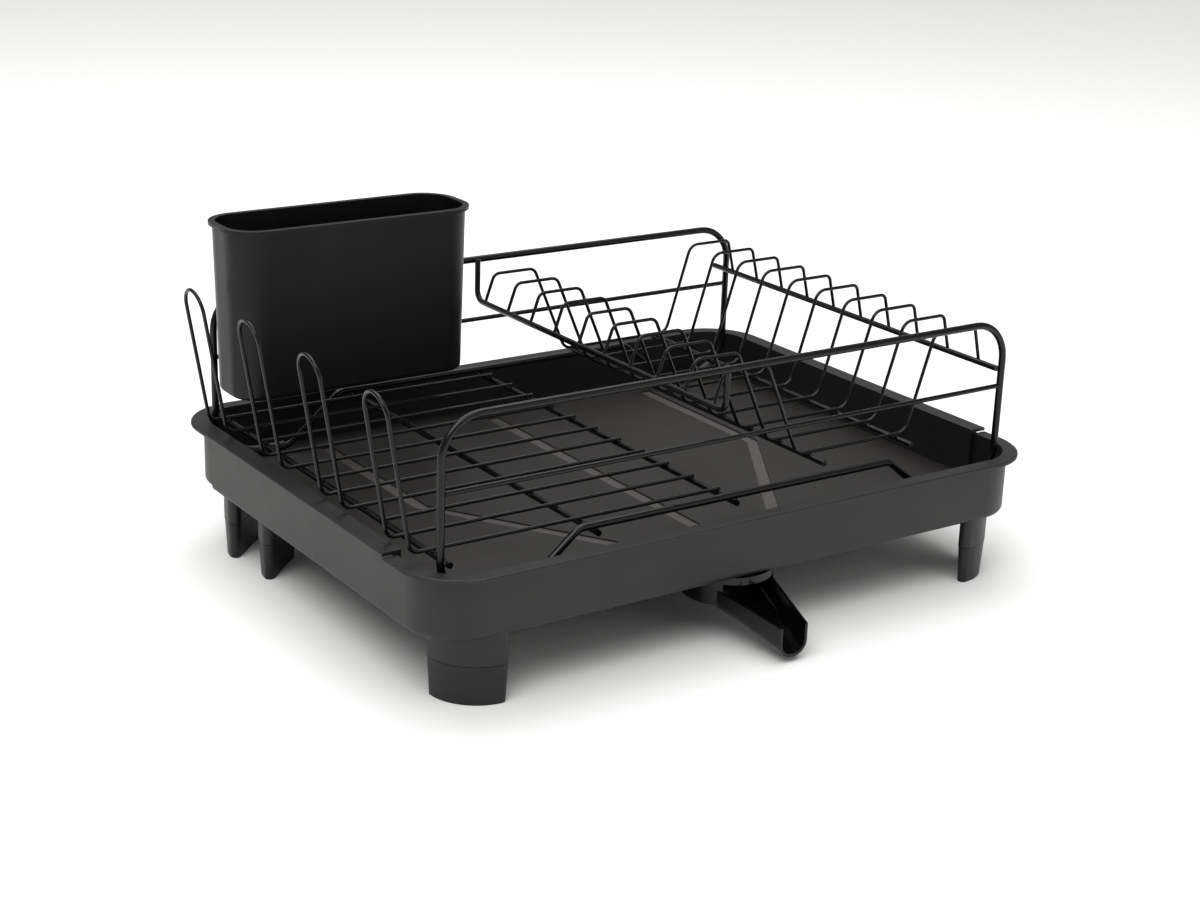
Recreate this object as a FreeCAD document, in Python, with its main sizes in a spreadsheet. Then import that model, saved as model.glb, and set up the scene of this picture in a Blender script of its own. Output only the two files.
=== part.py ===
import FreeCAD, Part
import math
import os
import re

import Sketcher
from FreeCAD import Placement, Rotation, Vector

# A dish drying rack: a drip tray in two parts that slide apart along Y, a swivelling
# drain spout under its front, a welded wire rack that lifts out, and a cutlery caddy
# that hooks on the rack's back rail. Front is -Y, left is -X, the ground is Z = 0.
# Pieces are placed from the tray's centre. The last step moves them all together so
# that the frame's origin is the bottom centre of the whole object.

doc = FreeCAD.newDocument("drying_rack")

# ---------------------------------------------------------------- driving sizes, mm
SIZES = {
    # drip tray, shared by its two parts
    "tray_width": 477.0,
    "tray_depth": 356.0,
    "tray_corner": 36.0,
    "flange_overhang": 7.5,
    "flange_thickness": 2.4,
    "leg_height": 45.0,
    "wall_height": 43.0,
    "wall_thickness": 3.0,
    "base_fillet": 4.0,
    "rim_fillet": 1.0,
    "floor_thickness": 2.5,
    "floor_height": 56.5,
    "slide_gap": 0.4,
    # front part of the tray
    "deck_thickness": 3.0,
    "ledge_depth": 57.0,
    "rear_skirt_depth": 33.0,
    "seam_setback": 43.0,
    "drain_setback": 32.0,
    "drain_bore": 30.0,
    "drain_collar": 38.0,
    "drain_dish": 48.0,
    "drain_dish_depth": 1.6,
    # back part of the tray
    "hook_lead": 8.0,
    "panel_step": 1.2,
    "runner_width": 3.0,
    "runner_spacing": 92.0,
    "channel_width": 9.5,
    "channel_depth": 1.0,
    "channel_spacing": 142.0,
    "channel_mouth": 58.0,
    "channel_turn": 128.0,
    "stop_width": 22.0,
    "stop_depth": 4.0,
    "slide_travel": 140.0,
    # legs and their caps
    "leg_chord": 51.0,
    "leg_arc": 35.3,
    "leg_corner": 5.0,
    "cap_height": 26.0,
    "cap_inset": 0.3,
    "cap_gap": 0.5,
    "cap_taper": 3.0,
    "peg_bore": 9.0,
    "peg_length": 9.0,
    "peg_clearance": 0.1,
    "front_leg_inset": 37.2,
    "front_leg_setback": 23.1,
    "middle_leg_inset": 30.4,
    "middle_leg_setback": 96.1,
    "back_leg_inset": 26.8,
    "back_leg_setback": 49.0,
    # drain spout
    "basin_width": 63.0,
    "basin_depth": 21.0,
    "basin_fillet": 3.5,
    "spout_wall": 2.0,
    "spout_cap": 2.8,
    "spout_gap": 0.8,
    "spout_clearance": 0.3,
    "chute_start": 5.0,
    "chute_start_width": 54.0,
    "chute_start_top": 38.0,
    "chute_corner": 10.0,
    "mouth_reach": 73.0,
    "mouth_width": 22.0,
    "mouth_bottom": 3.6,
    "mouth_top": 24.5,
    "retainer_rim": 2.0,
    "retainer_thickness": 1.2,
    "seal_wire": 2.0,
    "seal_groove": 1.6,
    "groove_clearance": 0.1,
    # wire rack
    "rack_width": 448.0,
    "rack_depth": 316.0,
    "frame_wire": 5.0,
    "beam_wire": 4.2,
    "cross_wire": 4.0,
    "mid_wire": 3.3,
    "loop_wire": 2.6,
    "plate_wire": 2.4,
    "sleeve_wall": 1.3,
    "rest_gap": 0.3,
    "top_rail_height": 180.7,
    "mid_rail_height": 134.5,
    "grid_rail_height": 94.8,
    "frame_top_bend": 27.0,
    "frame_foot_bend": 32.0,
    "frame_step_bend": 11.0,
    "foot_run": 24.0,
    "step_run": 42.0,
    "wire_stub": 4.0,
    "cross_middle": -113.6,
    "cross_right": -6.2,
    "grid_stub": 1.5,
    "grid_centre": 2.0,
    # cup loops and the straight wires between them
    "loop_pitch": 28.5,
    "loop_height": 99.0,
    "loop_lean": 9.5,
    "loop_bend": 7.0,
    "loop_reach": 15.2,
    # plate wires
    "plate_pitch": 31.5,
    "plate_first": 147.0,
    "plate_floor": 104.4,
    "inner_beam_place": -13.0,
    "inner_beam_height": 150.8,
    "inner_beam_bend": 8.0,
    "outer_beam_height": 147.4,
    "outer_beam_stub": 9.0,
    "inner_top_height": 171.0,
    "outer_top_height": 173.0,
    "inner_rail_place": 73.0,
    "outer_rail_place": 150.0,
    "rail_end_gap": 5.0,
    # cutlery caddy
    "caddy_width": 183.0,
    "caddy_depth": 58.0,
    "caddy_height": 119.5,
    "caddy_place": -142.5,
    "caddy_corner": 22.0,
    "caddy_wall": 2.0,
    "caddy_taper": 1.2,
    "caddy_rim_height": 237.5,
    "caddy_lip": 2.6,
    "caddy_lip_thickness": 2.4,
    "caddy_back_gap": 5.1,
    "hook_width": 18.0,
    "hook_wall": 2.6,
    "hook_drop": 9.0,
    "hook_spacing": 92.0,
    "hook_gap": 0.3,
    "caddy_drain_hole": 5.0,
    "caddy_drain_pitch": 24.0,
}

# Sizes that follow from the driving sizes, each given once as a formula.
DERIVED = {
    "rim_height": "leg_height + wall_height",
    "wall_x": "tray_width / 2",
    "wall_y": "tray_depth / 2",
    "cavity_x": "wall_x - wall_thickness",
    "cavity_y": "wall_y - wall_thickness",
    "cavity_corner": "tray_corner - wall_thickness",
    "hollow_corner": "(ledge_depth - wall_thickness) * 4 / 9",
    "hollow_x": "cavity_x - cavity_corner + hollow_corner",
    "flange_x": "wall_x + flange_overhang",
    "flange_y": "wall_y + flange_overhang",
    "flange_corner": "tray_corner + flange_overhang",
    "ledge_y": "wall_y - wall_thickness - ledge_depth",
    "seam_y": "wall_y - seam_setback",
    "deck_y": "seam_y - rear_skirt_depth",
    "deck_height": "leg_height + deck_thickness",
    "drain_y": "wall_y - drain_setback",
    "floor_under": "floor_height - floor_thickness",
    "nest_x": "cavity_x - slide_gap",
    "nest_cavity_x": "nest_x - floor_thickness",
    "nest_cavity_y": "wall_y - panel_step - floor_thickness",
    "nest_corner": "tray_corner - panel_step - floor_thickness - 2",
    "hook_height": "rim_height + slide_gap",
    "runner_foot": "deck_height + slide_gap",
    "front_leg_x": "wall_x - front_leg_inset",
    "front_leg_y": "front_leg_setback - wall_y",
    "middle_leg_x": "wall_x - middle_leg_inset",
    "middle_leg_y": "wall_y - middle_leg_setback",
    "back_leg_x": "wall_x - back_leg_inset",
    "back_leg_y": "wall_y - back_leg_setback",
    "spout_top": "leg_height - spout_gap",
    "basin_bottom": "spout_top - basin_depth",
    "spout_neck": "drain_bore - 2 * spout_clearance",
    "frame_x": "rack_width / 2",
    "frame_y": "rack_depth / 2",
    "sleeve_radius": "frame_wire / 2 + sleeve_wall",
    "foot_height": "floor_height + rest_gap + sleeve_radius",
    "cross_height": "grid_rail_height - (frame_wire + cross_wire) / 2",
    "cross_left": "(frame_wire + cross_wire) / 2 - frame_x",
    "loop_level": "cross_height + (cross_wire + loop_wire) / 2",
    "outer_beam_place": "frame_x - (frame_wire + beam_wire) / 2",
    "inner_beam_y": "frame_y - (frame_wire + beam_wire) / 2",
    "plate_rail_height": "plate_floor - (plate_wire + beam_wire) / 2",
    "caddy_back": "frame_y - frame_wire / 2 - caddy_back_gap",
    "caddy_y": "caddy_back - caddy_depth / 2",
    "caddy_bottom": "caddy_rim_height - caddy_height",
}

sheet = doc.addObject("Spreadsheet::Sheet", "Sizes")
for row, (alias, number) in enumerate(SIZES.items(), start=1):
    sheet.set(f"A{row}", alias)
    sheet.set(f"B{row}", str(number))
    sheet.setAlias(f"B{row}", alias)
doc.recompute()

NAME = re.compile(r"[a-z][a-z0-9_]*")


def bound(text):
    """The expression for a formula written with plain size names."""

    def qualified(match):
        word = match.group(0)
        if word in SIZES:
            return f"Sizes.{word}"
        if word in DERIVED:
            return f"Derived.{word}"
        return word

    return NAME.sub(qualified, text)


derived = doc.addObject("App::VarSet", "Derived")
for alias, formula in DERIVED.items():
    derived.addProperty("App::PropertyFloat", alias)
    derived.setExpression(alias, bound(formula))
doc.recompute()


def size(name):
    """A driving or derived size as a number."""
    return float(getattr(derived, name)) if name in DERIVED else float(sheet.get(name))


def bind(obj, **formulas):
    """Bind properties of an object to formulas; base_x and so on mean its place."""
    places = {f"base_{axis}": f".Placement.Base.{axis}" for axis in "xyz"}
    places.update({f"offset_{axis}": f".AttachmentOffset.Base.{axis}" for axis in "xyz"})
    for key, formula in formulas.items():
        obj.setExpression(places.get(key, key), bound(str(formula)))
    return obj


subparts = []


def subpart(obj, label):
    """Register a finished piece under the name of its node."""
    obj.Label = label
    subparts.append(obj)
    return obj


# ---------------------------------------------------------------- sketch helpers
X_AXIS, Y_AXIS = -1, -2


def new_body(name):
    return doc.addObject("PartDesign::Body", name)


def new_sketch(body, name, height="0", x="0", y="0", turn=0.0, plane="XY_Plane"):
    """A sketch on one of the body's own origin planes, moved by formulas."""
    sketch = body.newObject("Sketcher::SketchObject", name)
    origin_plane = [f for f in body.Origin.OriginFeatures if f.Role == plane][0]
    sketch.AttachmentSupport = [(origin_plane, "")]
    sketch.MapMode = "FlatFace"
    sketch.AttachmentOffset = Placement(Vector(), Rotation(Vector(0, 0, 1), turn))
    return bind(sketch, offset_x=x, offset_y=y, offset_z=height)


def pin(sketch, kind, geometry, point, formula, probe):
    """Hold a point's X or Y by a formula; probe is its present value, for the sign."""
    ends = (X_AXIS, 1, geometry, point) if probe >= 0 else (geometry, point, X_AXIS, 1)
    index = sketch.addConstraint(Sketcher.Constraint(kind, *ends, abs(probe)))
    sign = "" if probe >= 0 else "-1 * "
    sketch.setExpression(f"Constraints[{index}]", bound(f"{sign}({formula})"))


def number(formula):
    """The value of a formula in size names."""
    gauge.setExpression("reading", bound(f"{formula}"))
    gauge.recompute()
    return float(gauge.reading)


gauge = doc.addObject("App::VarSet", "Gauge")
gauge.addProperty("App::PropertyFloat", "reading")


def rectangle(sketch, left, right, front, back, corner=None):
    """A rectangle held by four formulas, with rounded corners where corner is given."""
    x0, x1, y0, y1 = (number(f) for f in (left, right, front, back))
    r = number(corner) if corner else 0.0
    lines = [
        sketch.addGeometry(Part.LineSegment(Vector(*a, 0), Vector(*b, 0)))
        for a, b in (
            ((x0 + r, y0), (x1 - r, y0)),
            ((x1, y0 + r), (x1, y1 - r)),
            ((x1 - r, y1), (x0 + r, y1)),
            ((x0, y1 - r), (x0, y0 + r)),
        )
    ]
    if corner:
        centres = ((x1 - r, y0 + r), (x1 - r, y1 - r), (x0 + r, y1 - r), (x0 + r, y0 + r))
        arcs = []
        for quarter, centre in enumerate(centres):
            circle = Part.Circle(Vector(*centre, 0), Vector(0, 0, 1), r)
            start = math.radians(90 * quarter - 90)
            arc = Part.ArcOfCircle(circle, start, start + math.pi / 2)
            arcs.append(sketch.addGeometry(arc))
        for k, arc in enumerate(arcs):
            after = lines[(k + 1) % 4]
            sketch.addConstraint(Sketcher.Constraint("Tangent", lines[k], 2, arc, 1))
            sketch.addConstraint(Sketcher.Constraint("Tangent", arc, 2, after, 1))
        for arc in arcs[1:]:
            sketch.addConstraint(Sketcher.Constraint("Equal", arcs[0], arc))
        index = sketch.addConstraint(Sketcher.Constraint("Radius", arcs[0], r))
        sketch.setExpression(f"Constraints[{index}]", bound(corner))
    else:
        for k in range(4):
            join = Sketcher.Constraint("Coincident", lines[k], 2, lines[(k + 1) % 4], 1)
            sketch.addConstraint(join)
    for k, kind in enumerate(("Horizontal", "Vertical", "Horizontal", "Vertical")):
        sketch.addConstraint(Sketcher.Constraint(kind, lines[k]))
    pin(sketch, "DistanceY", lines[0], 1, front, y0)
    pin(sketch, "DistanceX", lines[1], 1, right, x1)
    pin(sketch, "DistanceY", lines[2], 1, back, y1)
    pin(sketch, "DistanceX", lines[3], 1, left, x0)


def disc(sketch, radius, x="0", y="0"):
    """A circle held by formulas."""
    cx, cy, r = number(x), number(y), number(radius)
    circle = sketch.addGeometry(Part.Circle(Vector(cx, cy, 0), Vector(0, 0, 1), r))
    index = sketch.addConstraint(Sketcher.Constraint("Radius", circle, r))
    sketch.setExpression(f"Constraints[{index}]", bound(radius))
    pin(sketch, "DistanceX", circle, 3, x, cx)
    pin(sketch, "DistanceY", circle, 3, y, cy)


def polygon(sketch, corners):
    """A closed polygon whose corners are pairs of formulas."""
    at = [Vector(number(x), number(y), 0) for x, y in corners]
    count = len(at)
    for k in range(count):
        sketch.addGeometry(Part.LineSegment(at[k], at[(k + 1) % count]))
    for k in range(count):
        join = Sketcher.Constraint("Coincident", k, 2, (k + 1) % count, 1)
        sketch.addConstraint(join)
    for k, (x, y) in enumerate(corners):
        pin(sketch, "DistanceX", k, 1, x, at[k].x)
        pin(sketch, "DistanceY", k, 1, y, at[k].y)


def leg_outline(sketch, inset="0"):
    """A leg's plan: a flat inner face along X, an arc that bulges towards -Y, and round ends."""
    flat = "leg_chord - 2 * leg_corner"
    arc, corner, level = f"leg_arc - ({inset})", f"leg_corner - ({inset})", f"-({inset})"
    half, radius, r, y = number(flat) / 2, number(arc), number(corner), number(level)
    low = y - r
    middle = low + math.sqrt((radius - r) ** 2 - half**2)
    turn = math.atan2(low - middle, half)
    top = math.pi / 2
    line = sketch.addGeometry(Part.LineSegment(Vector(half, y, 0), Vector(-half, y, 0)))
    arcs = [
        sketch.addGeometry(Part.ArcOfCircle(Part.Circle(Vector(*at, 0), Vector(0, 0, 1), size), a, b))
        for at, size, a, b in (
            ((-half, low), r, top, math.pi - turn),
            ((0, middle), radius, -math.pi - turn, turn),
            ((half, low), r, turn, top),
        )
    ]
    for before, after in zip([line] + arcs, arcs + [line]):
        sketch.addConstraint(Sketcher.Constraint("Tangent", before, 2, after, 1))
    sketch.addConstraint(Sketcher.Constraint("Equal", arcs[0], arcs[2]))
    sketch.addConstraint(Sketcher.Constraint("Symmetric", line, 1, line, 2, Y_AXIS))
    pin(sketch, "DistanceY", line, 1, level, y)
    for kind, target, formula, value in (
        ("Distance", line, flat, 2 * half),
        ("Radius", arcs[0], corner, r),
        ("Radius", arcs[1], arc, radius),
    ):
        index = sketch.addConstraint(Sketcher.Constraint(kind, target, value))
        sketch.setExpression(f"Constraints[{index}]", bound(formula))


def pad(body, sketch, length, down=False, taper=None):
    feature = body.newObject("PartDesign::Pad", f"{sketch.Name}_pad")
    feature.Profile = sketch
    feature.Reversed = down
    bind(feature, Length=length)
    if taper:
        bind(feature, TaperAngle=taper)
    return feature


def pocket(body, sketch, depth, up=False, taper=None):
    """A cut from the sketch's plane, downwards unless up is set."""
    feature = body.newObject("PartDesign::Pocket", f"{sketch.Name}_pocket")
    feature.Profile = sketch
    feature.Reversed = up
    bind(feature, Length=depth)
    if taper:
        bind(feature, TaperAngle=taper)
    return feature


def round_edges(body, base, radius, chosen):
    """Fillet the edges of a feature that the test picks."""
    doc.recompute()
    names = [f"Edge{k}" for k, e in enumerate(base.Shape.Edges, start=1) if chosen(e)]
    feature = body.newObject("PartDesign::Fillet", f"{base.Name}_fillet")
    feature.Base = (base, names)
    return bind(feature, Radius=radius)


def lies_at(edge, height):
    box = edge.BoundBox
    return abs(box.ZMin - height) < 1e-4 and abs(box.ZMax - height) < 1e-4


# ---------------------------------------------------------------- trays
LEG_TURN = {"front_left": -45, "front_right": 45, "back_left": -135, "back_right": 135}


def leg_stub(body, name, x, y, turn, top):
    """The fixed upper part of a leg, with the bore that its cap's peg goes into."""
    outline = new_sketch(body, f"{name}_stub", height="cap_height", x=x, y=y, turn=turn)
    leg_outline(outline)
    pad(body, outline, f"{top} - cap_height")
    bore = new_sketch(body, f"{name}_bore", height="cap_height", x=x, y=y, turn=turn)
    disc(bore, "peg_bore / 2", y="peg_centre")
    pocket(body, bore, "peg_length + peg_clearance * 5", up=True)


def foot_cap(label, x, y, turn):
    """The separate lower part of a leg, which pushes onto the stub above it."""
    body = new_body(label)
    outline = new_sketch(body, f"{label}_outline", height="cap_height - cap_gap")
    leg_outline(outline, inset="cap_inset")
    pad(body, outline, "cap_height - cap_gap", down=True, taper="-1 * cap_taper")
    peg = new_sketch(body, f"{label}_peg", height="cap_height - cap_gap")
    disc(peg, "peg_bore / 2 - peg_clearance", y="peg_centre")
    pad(body, peg, "peg_length")
    body.Placement = Placement(Vector(number(x), number(y), 0), Rotation(Vector(0, 0, 1), turn))
    bind(body, base_x=x, base_y=y)
    return subpart(body, label)


def front_tray():
    """The front part: the ledge with the drain, and the deck that the back part rides on."""
    body = new_body("front_tray")
    block = new_sketch(body, "front_block", height="leg_height")
    rectangle(block, "-wall_x", "wall_x", "-wall_y", "wall_y", corner="tray_corner")
    walls = pad(body, block, "wall_height")
    under = size("leg_height")
    round_edges(body, walls, "base_fillet", lambda e: lies_at(e, under))
    brim = new_sketch(body, "front_brim", height="rim_height - flange_thickness")
    rectangle(brim, "-flange_x", "flange_x", "-flange_y", "flange_y", corner="flange_corner")
    rim = pad(body, brim, "flange_thickness")
    lip = size("rim_height")
    round_edges(body, rim, "rim_fillet", lambda e: lies_at(e, lip))

    bowl = new_sketch(body, "front_bowl", height="rim_height")
    rectangle(bowl, "-cavity_x", "cavity_x", "-cavity_y", "flange_y + 20", corner="cavity_corner")
    pocket(body, bowl, "rim_height - floor_height")
    deck = new_sketch(body, "front_deck", height="floor_height")
    rectangle(deck, "-cavity_x", "cavity_x", "-ledge_y", "flange_y + 20")
    pocket(body, deck, "floor_height - deck_height")
    rear = new_sketch(body, "front_rear_cut", height="rim_height")
    rectangle(rear, "-flange_x - 5", "flange_x + 5", "seam_y", "flange_y + 20")
    pocket(body, rear, "rim_height - leg_height + 5")
    open_rear = new_sketch(body, "front_deck_end", height="rim_height")
    rectangle(open_rear, "-cavity_x", "cavity_x", "deck_y", "seam_y + 5")
    pocket(body, open_rear, "rim_height - leg_height + 5")
    for side, left, right in (
        ("left", "-flange_x - 5", "-wall_x"),
        ("right", "wall_x", "flange_x + 5"),
    ):
        relief = new_sketch(body, f"front_brim_end_{side}", height="rim_height")
        rectangle(relief, left, right, "-ledge_y - hook_lead - slide_gap", "flange_y + 20")
        pocket(body, relief, "flange_thickness")
    hollow = new_sketch(body, "front_hollow", height="leg_height")
    rectangle(
        hollow,
        "-hollow_x",
        "hollow_x",
        "-cavity_y",
        "-ledge_y - wall_thickness",
        corner="hollow_corner",
    )
    pocket(body, hollow, "floor_under - leg_height", up=True)

    collar = new_sketch(body, "drain_collar_ring", height="leg_height", y="-drain_y")
    disc(collar, "drain_collar / 2")
    pad(body, collar, "floor_height - leg_height - drain_dish_depth")
    dish = new_sketch(body, "drain_dish_cut", height="floor_height", y="-drain_y")
    disc(dish, "drain_dish / 2")
    pocket(body, dish, "drain_dish_depth")
    drain = new_sketch(body, "drain_bore_cut", height="floor_height", y="-drain_y")
    disc(drain, "drain_bore / 2")
    pocket(body, drain, "floor_height - leg_height + 1")

    for side, sign in (("left", "-"), ("right", "")):
        turn = LEG_TURN[f"front_{side}"]
        leg_stub(body, f"front_{side}", f"{sign}front_leg_x", "front_leg_y", turn, "floor_under")
        turn = LEG_TURN[f"back_{side}"]
        place = f"{sign}middle_leg_x"
        leg_stub(body, f"middle_{side}", place, "middle_leg_y", turn, "deck_height")
        stop = new_sketch(body, f"deck_stop_{side}", height="leg_height")
        centre = f"{sign}runner_spacing"
        rectangle(
            stop,
            f"{centre} / 2 - stop_width / 2",
            f"{centre} / 2 + stop_width / 2",
            "-ledge_y + slide_gap + 2 * stop_depth + slide_travel",
            "-ledge_y + slide_gap + 3 * stop_depth + slide_travel",
        )
        pad(body, stop, "deck_height - leg_height + 3")
    return subpart(body, "front_tray")


def back_tray():
    """The back part: it nests in the front part and hooks over its side walls."""
    body = new_body("back_tray")
    panel_x, panel_y = "wall_x - panel_step", "wall_y - panel_step"
    panel_corner = "tray_corner - panel_step"
    under = "leg_height + panel_step"
    block = new_sketch(body, "back_block", height=under)
    rectangle(block, f"-({panel_x})", panel_x, "-wall_y", panel_y, corner=panel_corner)
    walls = pad(body, block, "hook_height - leg_height - panel_step")
    base = number(under)
    round_edges(body, walls, "base_fillet", lambda e: lies_at(e, base))
    brim = new_sketch(body, "back_brim", height="hook_height")
    rectangle(brim, "-flange_x", "flange_x", "-flange_y", "flange_y", corner="flange_corner")
    rim = pad(body, brim, "flange_thickness")
    top = "hook_height + flange_thickness"
    lip = number(top)
    round_edges(body, rim, "rim_fillet", lambda e: lies_at(e, lip))

    front = new_sketch(body, "back_front_cut", height=top)
    rectangle(front, "-flange_x - 5", "flange_x + 5", "-flange_y - 5", "-ledge_y - hook_lead")
    pocket(body, front, f"{top} - leg_height + 5")
    bowl = new_sketch(body, "back_bowl", height=top)
    rectangle(
        bowl,
        "-nest_cavity_x",
        "nest_cavity_x",
        "-flange_y - 20",
        "nest_cavity_y",
        corner="nest_corner",
    )
    pocket(body, bowl, f"{top} - floor_height")
    skirt = new_sketch(body, "back_floor_end", height="floor_height")
    rectangle(skirt, "-nest_cavity_x", "nest_cavity_x", "-flange_y - 5", "-ledge_y + slide_gap")
    pocket(body, skirt, "floor_height - leg_height + 5")
    beneath = new_sketch(body, "back_beneath", height="floor_under")
    rectangle(beneath, "-flange_x - 5", "flange_x + 5", "-flange_y - 5", "seam_y + slide_gap")
    pocket(body, beneath, "floor_under - leg_height + 5")
    lead = new_sketch(body, "back_lead", height="floor_height + slide_gap")
    rectangle(lead, "-flange_x - 5", "flange_x + 5", "-flange_y - 5", "-ledge_y + slide_gap")
    pocket(body, lead, "floor_height + slide_gap - leg_height + 5")
    for side, left, right in (
        ("left", "-flange_x - 5", "-nest_x"),
        ("right", "nest_x", "flange_x + 5"),
    ):
        nest = new_sketch(body, f"back_nest_{side}", height="hook_height")
        rectangle(nest, left, right, "-flange_y - 5", "seam_y + slide_gap")
        pocket(body, nest, "hook_height - leg_height + 5")
    hollow = new_sketch(body, "back_hollow", height="leg_height")
    rectangle(
        hollow,
        "-nest_cavity_x",
        "nest_cavity_x",
        "seam_y - 40",
        "nest_cavity_y",
        corner="nest_corner",
    )
    pocket(body, hollow, "floor_under - leg_height", up=True)

    half = "channel_width / 2"
    straight = new_sketch(body, "back_channels", height="floor_height")
    turn_y = "-ledge_y + channel_turn"
    back_end = "nest_cavity_y - 24"
    rectangle(straight, f"-{half}", half, "-ledge_y - 5", back_end)
    pocket(body, straight, "channel_depth")
    for side, sign in (("left", "-"), ("right", "")):
        centre, mouth = f"{sign}channel_spacing", f"{sign}channel_mouth"
        run = new_sketch(body, f"back_channel_{side}", height="floor_height")
        polygon(
            run,
            [
                (f"{centre} - {half}", back_end),
                (f"{centre} - {half}", turn_y),
                (f"{mouth} - {half} * 1.2", "-ledge_y - 5"),
                (f"{mouth} + {half} * 1.2", "-ledge_y - 5"),
                (f"{centre} + {half}", turn_y),
                (f"{centre} + {half}", back_end),
            ],
        )
        pocket(body, run, "channel_depth")
    for k in (-3, -1, 1, 3):
        place = f"{k} * (runner_spacing + stop_width + runner_width + 2 * slide_gap) / 2"
        runner = new_sketch(body, f"runner_{k + 4}", height="floor_under")
        rectangle(
            runner,
            f"{place} - runner_width / 2",
            f"{place} + runner_width / 2",
            "-ledge_y + slide_gap",
            "deck_y - 5",
        )
        pad(body, runner, "floor_under - runner_foot", down=True)
    for side, sign in (("left", "-"), ("right", "")):
        stop = new_sketch(body, f"floor_stop_{side}", height="floor_under")
        centre = f"{sign}runner_spacing"
        rectangle(
            stop,
            f"{centre} / 2 - stop_width / 2",
            f"{centre} / 2 + stop_width / 2",
            "-ledge_y + slide_gap + stop_depth",
            "-ledge_y + slide_gap + 2 * stop_depth",
        )
        pad(body, stop, "floor_under - runner_foot", down=True)
        turn = LEG_TURN[f"back_{side}"]
        leg_stub(body, f"back_{side}", f"{sign}back_leg_x", "back_leg_y", turn, "floor_under")
    return subpart(body, "back_tray")


# ---------------------------------------------------------------- bent wires
def bent_path(points, bends, closed=False):
    """Straight runs through the points, joined by tangent arcs of the given radii."""
    points = [Vector(*p) for p in points]
    count = len(points)
    inner = range(count) if closed else range(1, count - 1)
    starts, ends, arcs = {}, {}, {}
    for k in range(count):
        starts[k] = ends[k] = points[k]
    for k in inner:
        before, after = points[k - 1] - points[k], points[(k + 1) % count] - points[k]
        before.normalize()
        after.normalize()
        half = before.getAngle(after) / 2
        reach = bends[k] / math.tan(half)
        towards = before + after
        towards.normalize()
        centre = points[k] + towards * (bends[k] / math.sin(half))
        starts[k], ends[k] = points[k] + before * reach, points[k] + after * reach
        arcs[k] = Part.Arc(starts[k], centre - towards * bends[k], ends[k]).toShape()
    edges = []
    for k in range(count if closed else count - 1):
        following = (k + 1) % count
        if ends[k].distanceToPoint(starts[following]) > 1e-6:
            edges.append(Part.makeLine(ends[k], starts[following]))
        if following in arcs:
            edges.append(arcs[following])
    return Part.Wire(edges)


def swept(name, path, radius):
    """A round wire: a circle, bound to the sheet, swept along its own path."""
    spine = doc.addObject("Part::Feature", f"{name}_path")
    spine.Shape = path
    first = path.Edges[0]
    tangent = first.tangentAt(first.FirstParameter)
    profile = doc.addObject("Part::Circle", f"{name}_profile")
    bind(profile, Radius=radius)
    turn = Rotation(Vector(0, 0, 1), tangent)
    profile.Placement = Placement(first.valueAt(first.FirstParameter), turn)
    sweep = doc.addObject("Part::Sweep", name)
    sweep.Sections = [profile]
    sweep.Spine = (spine, [f"Edge{k + 1}" for k in range(len(path.Edges))])
    sweep.Solid = True
    return sweep


AXIS_TURN = {
    "x": Rotation(Vector(0, 1, 0), 90),
    "y": Rotation(Vector(1, 0, 0), -90),
    "z": Rotation(),
}


def rod(label, axis, diameter, length, x, y, z):
    """A straight wire along an axis, from the point where it starts."""
    cylinder = doc.addObject("Part::Cylinder", label)
    cylinder.Placement = Placement(Vector(), AXIS_TURN[axis])
    bind(cylinder, Radius=f"{diameter} / 2", Height=length, base_x=x, base_y=y, base_z=z)
    return subpart(cylinder, label)


def side_frame_points(y):
    """The corners of a side frame, from the foot of its left post, and their bends."""
    x, foot = size("frame_x"), size("foot_height")
    grid, top = size("grid_rail_height"), size("top_rail_height")
    bend, step = size("frame_foot_bend"), size("frame_step_bend")
    toe = x - bend - size("foot_run")
    rise = toe - size("step_run")
    upper = size("frame_top_bend")
    right = [(x, y, foot, bend), (toe, y, foot, step), (rise, y, grid, step)]
    left = [(-px, py, pz, r) for px, py, pz, r in reversed(right)]
    corners = right + left + [(-x, y, top, upper), (x, y, top, upper)]
    return [c[:3] for c in corners], [c[3] for c in corners]


def side_frame(label, y):
    points, bends = side_frame_points(y)
    subpart(swept(label, bent_path(points, bends, closed=True), "frame_wire / 2"), label)


def foot_sleeve(label, x_sign, y):
    """A rubber sleeve over the foot of a side frame and the end of the bend above it."""
    x, foot, bend = size("frame_x"), size("foot_height"), size("frame_foot_bend")
    toe = x - bend - size("foot_run")
    turn = math.radians(40)
    centre = Vector(x_sign * (x - bend), y, foot + bend)
    start = centre + Vector(x_sign * bend * math.sin(turn), 0, -bend * math.cos(turn))
    middle = centre + Vector(x_sign * bend * math.sin(turn / 2), 0, -bend * math.cos(turn / 2))
    low = Vector(centre.x, y, foot)
    reach = size("frame_step_bend") * math.tan(math.atan2(*step_slope()) / 2)
    edges = [
        Part.Arc(start, middle, low).toShape(),
        Part.makeLine(low, Vector(x_sign * (toe + reach), y, foot)),
    ]
    path = Part.Wire(edges)
    sleeve = doc.addObject("Part::Cut", label)
    sleeve.Base = swept(f"{label}_outside", path, "sleeve_radius")
    sleeve.Tool = swept(f"{label}_inside", path, "frame_wire / 2")
    return subpart(sleeve, label)


def step_slope():
    """Rise and run of the sloping step between a foot and the raised rail."""
    return size("grid_rail_height") - size("foot_height"), size("step_run")


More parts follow.
